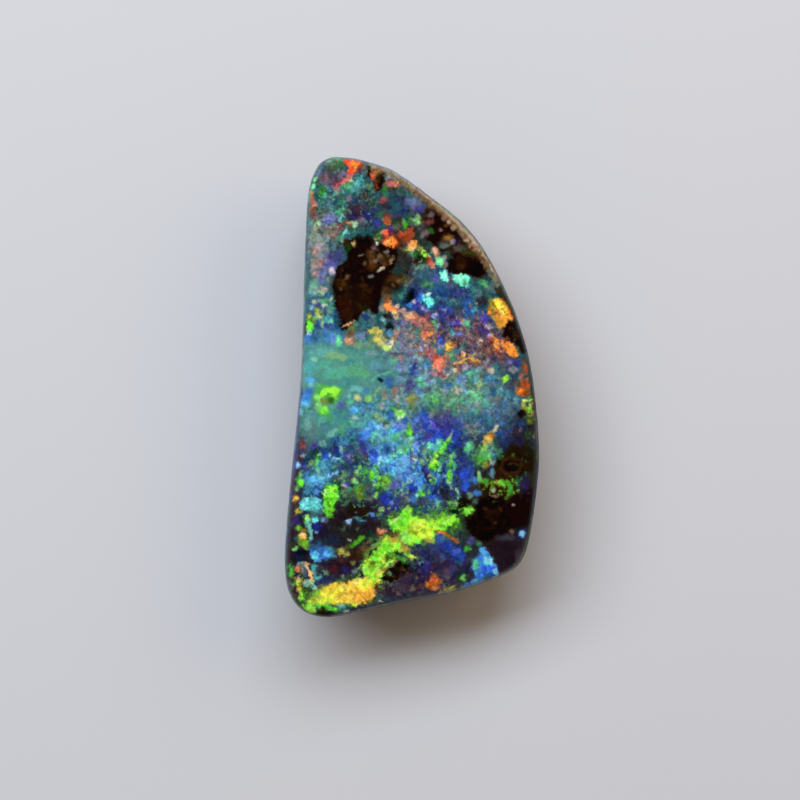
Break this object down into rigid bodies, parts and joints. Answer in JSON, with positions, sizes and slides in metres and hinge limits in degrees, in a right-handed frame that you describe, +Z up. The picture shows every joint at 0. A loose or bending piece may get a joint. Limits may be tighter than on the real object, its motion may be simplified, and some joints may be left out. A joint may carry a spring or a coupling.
{
  "type": "polished boulder opal",
  "caption": "Polished freeform boulder opal cabochon, sail-shaped, with a low domed fiery face on brown ironstone and a flat ground back to rest on.",
  "frame": {"origin": "centre of the bounding box's underside, on the flat ground back", "axes": "+Z up out of the polished face, +Y along the stone towards its narrow rounded tip, +X towards its long bowed edge"},
  "size_m": [0.0094, 0.017, 0.0039],
  "materials": {
    "boulder_opal": "polished precious opal face with patches of blue, teal, green, yellow, orange and red fire among near-black brown ironstone; satin brown ironstone on the sides and the ground back"
  },
  "bodies": {
    "root": {"boulder_opal": "boulder_opal"}
  },
  "joints": []
}
